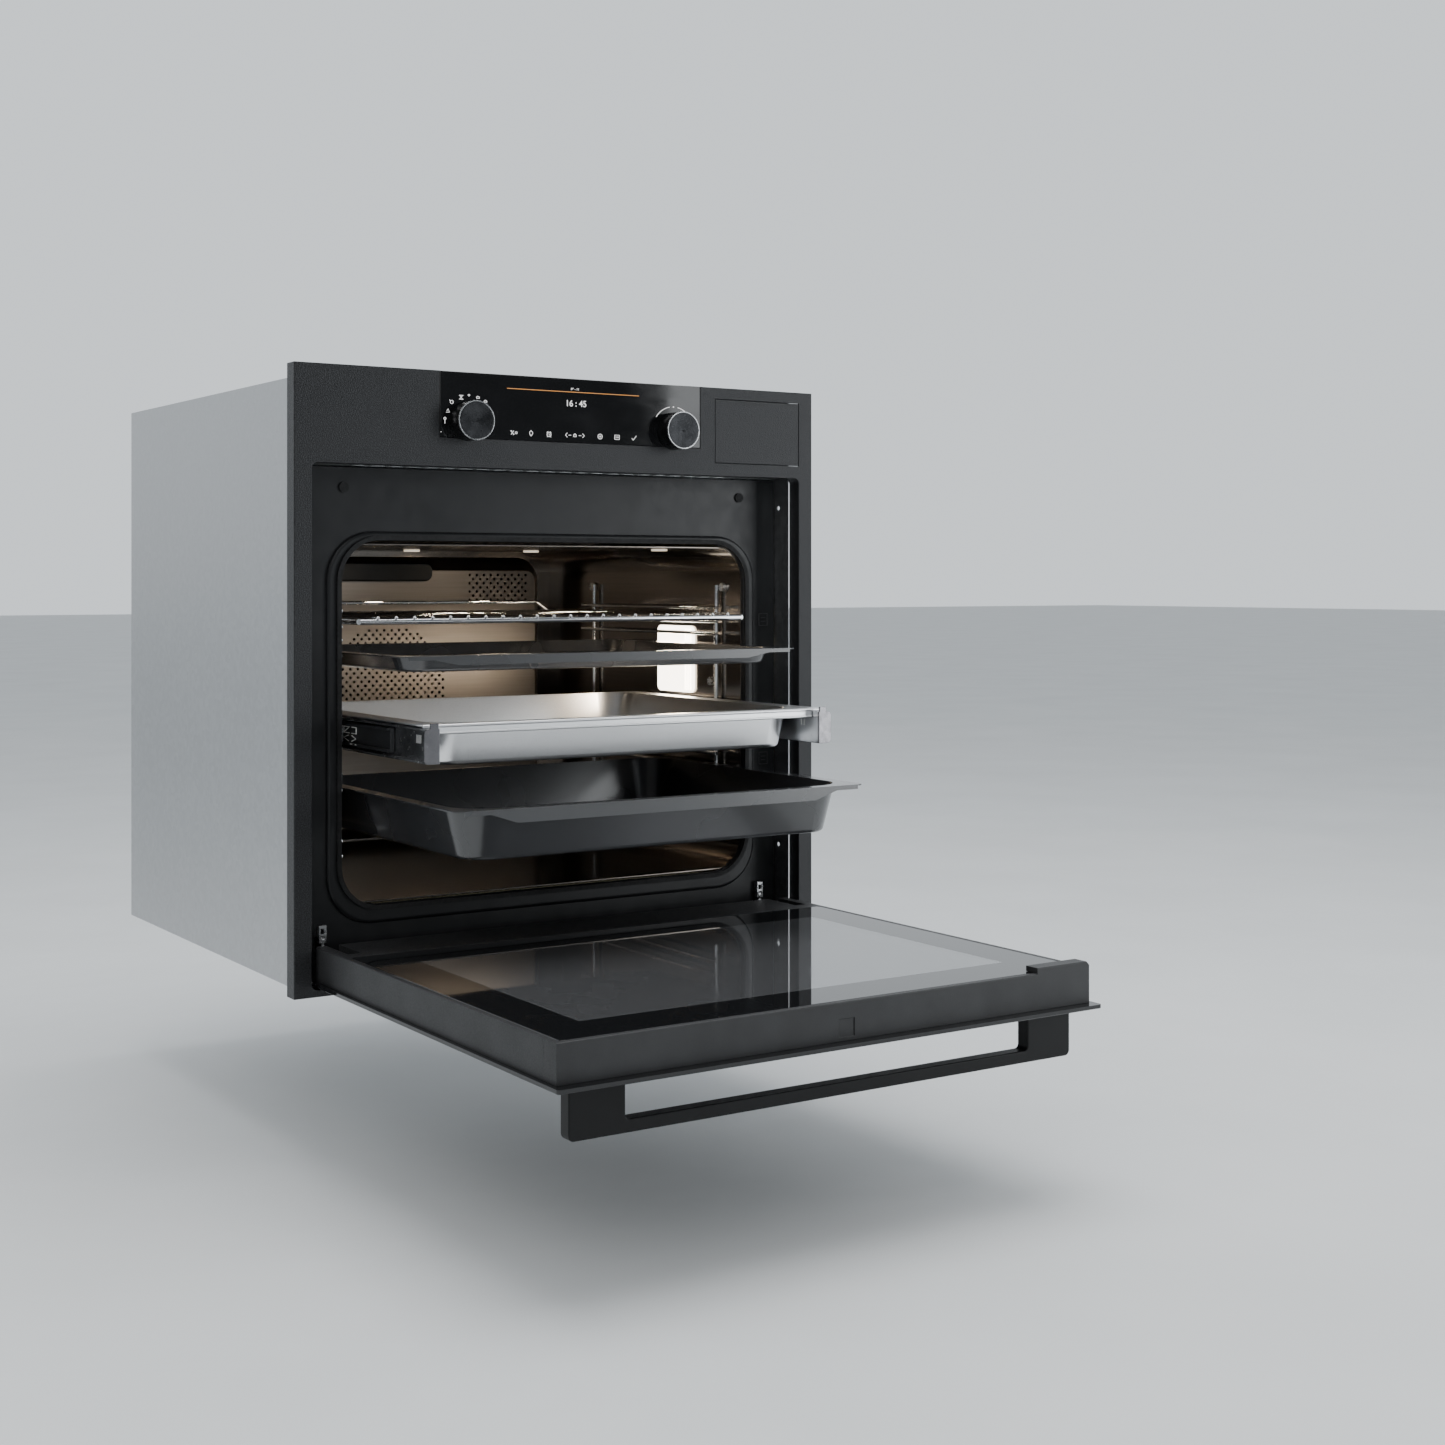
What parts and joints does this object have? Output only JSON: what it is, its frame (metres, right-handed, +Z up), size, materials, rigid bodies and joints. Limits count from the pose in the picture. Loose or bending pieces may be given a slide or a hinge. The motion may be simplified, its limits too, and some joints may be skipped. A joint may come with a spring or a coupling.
{
  "type": "built-in wall oven",
  "caption": "Built-in wall oven with a drop-down glass door, bar handle, turning knobs, water drawer, side racks, telescopic runners, trays, a pan and a wire rack.",
  "frame": {"origin": "middle of the casing's underside, where it rests on the niche's shelf", "axes": "+X to the right seen from the front, +Y into the wall, +Z up"},
  "size_m": [0.597, 1.0385, 0.6314],
  "materials": {
    "front_enamel": "fine grained powder coat, satin",
    "display_glass": "gloss black glass over the display",
    "black_plastic": "fine texture",
    "knob_black": "turned and anodised black",
    "knob_ring": "bright turned edge",
    "cavity_enamel": "satin black enamel",
    "cavity_steel": "brushed, warm lit",
    "tray_enamel": "gloss black enamel",
    "pan_steel": "satin",
    "chrome_wire": "bright chrome",
    "rail_steel": "bright rolled strip",
    "rail_black": "black, satin",
    "seal_rubber": "matt silicone",
    "lamp_glass": "ribbed lens",
    "clear_glass": "clear heat reflecting pane",
    "printed_glass": "clear pane with a black printed border",
    "door_glass": "black tinted outer pane",
    "casing_steel": "zinc coated sheet",
    "hinge_steel": "bright plated",
    "heater_steel": "oxidised tube",
    "wool": "mineral wool",
    "tank_plastic": "smoked clear",
    "board": "circuit board",
    "motor_steel": "plain motor can",
    "handle_black": "anodised black"
  },
  "bodies": {
    "cabinet": {"front_frame": "front_enamel", "display_glass": "display_glass", "display_carrier": "black_plastic", "display_module": "board", "knob_encoders": "black_plastic", "tank_housing": "black_plastic", "cavity_front_plate": "cavity_enamel", "door_seal": "seal_rubber", "door_buffers": "seal_rubber", "cavity_liner": "cavity_steel", "cavity_back": "cavity_steel", "side_lamp_glass": "lamp_glass", "ceiling_lamps": "lamp_glass", "fan_baffle": "cavity_steel", "steam_outlet_cover": "cavity_enamel", "ring_element": "heater_steel", "top_heater": "heater_steel", "fan_motor": "motor_steel", "insulation": "wool", "side_rack_right": "chrome_wire", "side_rack_left": "chrome_wire", "rack_screws": "hinge_steel", "rail_fixed": "rail_steel", "hinge_arms": "hinge_steel", "case_right": "casing_steel", "case_left": "casing_steel", "case_bottom": "casing_steel", "case_top": "casing_steel", "case_back": "casing_steel", "case_screws": "hinge_steel", "air_duct": "casing_steel", "blower_housing": "casing_steel", "power_board": "board", "terminal_block": "black_plastic", "steam_boiler": "motor_steel", "water_pump": "black_plastic"},
    "door": {"door_outer_panel": "door_glass", "door_middle_glass": "clear_glass", "door_inner_glass": "printed_glass", "door_frame": "black_plastic", "door_top_trim": "black_plastic", "handle_bar": "handle_black", "hinge_channels": "hinge_steel"},
    "left_lock": {"hinge_lock_left": "hinge_steel"},
    "right_lock": {"hinge_lock_right": "hinge_steel"},
    "left_knob": {"knob_left": "knob_black", "knob_ring_left": "knob_ring"},
    "right_knob": {"knob_right": "knob_black", "knob_ring_right": "knob_ring"},
    "water_drawer": {"tank_front_flap": "front_enamel", "water_tank": "tank_plastic", "tank_lid": "tank_plastic"},
    "fan": {"convection_fan": "cavity_steel"},
    "blower": {"blower_wheel": "casing_steel"},
    "rack": {"wire_rack": "chrome_wire"},
    "shallow": {"shallow_tray": "tray_enamel"},
    "deep": {"deep_tray": "tray_enamel"},
    "rail_member": {"rail_middle": "rail_black"},
    "pan_carrier": {"rail_moving": "rail_steel", "steel_pan": "pan_steel"}
  },
  "joints": [
    {"name": "door_hinge", "type": "hinge", "parent": "cabinet", "child": "door", "pos_m": [0, -0.282, 0.017], "axis": [-1, 0, 0], "range_deg": [0, 90]},
    {"name": "left_lock_swing", "type": "hinge", "parent": "cabinet", "child": "left_lock", "pos_m": [-0.255, -0.2497, 0.046], "axis": [-1, 0, 0], "range_deg": [-60, 0]},
    {"name": "right_lock_swing", "type": "hinge", "parent": "cabinet", "child": "right_lock", "pos_m": [0.255, -0.2497, 0.046], "axis": [-1, 0, 0], "range_deg": [-60, 0]},
    {"name": "left_knob_turn", "type": "hinge", "parent": "cabinet", "child": "left_knob", "pos_m": [-0.1193, -0.29, 0.5484], "axis": [0, 1, 0], "continuous": true},
    {"name": "right_knob_turn", "type": "hinge", "parent": "cabinet", "child": "right_knob", "pos_m": [0.1193, -0.29, 0.5484], "axis": [0, 1, 0], "continuous": true},
    {"name": "water_drawer_slide", "type": "slide", "parent": "cabinet", "child": "water_drawer", "axis": [0, -1, 0], "range_m": [0, 0.2]},
    {"name": "fan_spin", "type": "hinge", "parent": "cabinet", "child": "fan", "pos_m": [0, 0.194, 0.264], "axis": [0, 1, 0], "continuous": true},
    {"name": "blower_spin", "type": "hinge", "parent": "cabinet", "child": "blower", "pos_m": [0, 0.141, 0.507], "axis": [1, 0, 0], "continuous": true},
    {"name": "deep_tray_slide", "type": "slide", "parent": "cabinet", "child": "deep", "axis": [0, 1, 0], "range_m": [0, 0.2421]},
    {"name": "pan_slide", "type": "slide", "parent": "cabinet", "child": "pan_carrier", "axis": [0, 1, 0], "range_m": [0, 0.1781]},
    {"name": "rail_member_slide", "type": "slide", "parent": "cabinet", "child": "rail_member", "axis": [0, 1, 0], "range_m": [0, 0.0891]},
    {"name": "shallow_tray_slide", "type": "slide", "parent": "cabinet", "child": "shallow", "axis": [0, 1, 0], "range_m": [0, 0.1251]},
    {"name": "rack_slide", "type": "slide", "parent": "cabinet", "child": "rack", "axis": [0, 1, 0], "range_m": [0, 0.0261]}
  ],
  "couplings": [
    {"joint": "deep_tray_slide", "follows": "door_hinge", "m_per_rad": 0.15406},
    {"joint": "pan_slide", "follows": "door_hinge", "m_per_rad": 0.11332},
    {"joint": "rail_member_slide", "follows": "door_hinge", "m_per_rad": 0.056659},
    {"joint": "shallow_tray_slide", "follows": "door_hinge", "m_per_rad": 0.079577},
    {"joint": "rack_slide", "follows": "door_hinge", "m_per_rad": 0.016552}
  ]
}
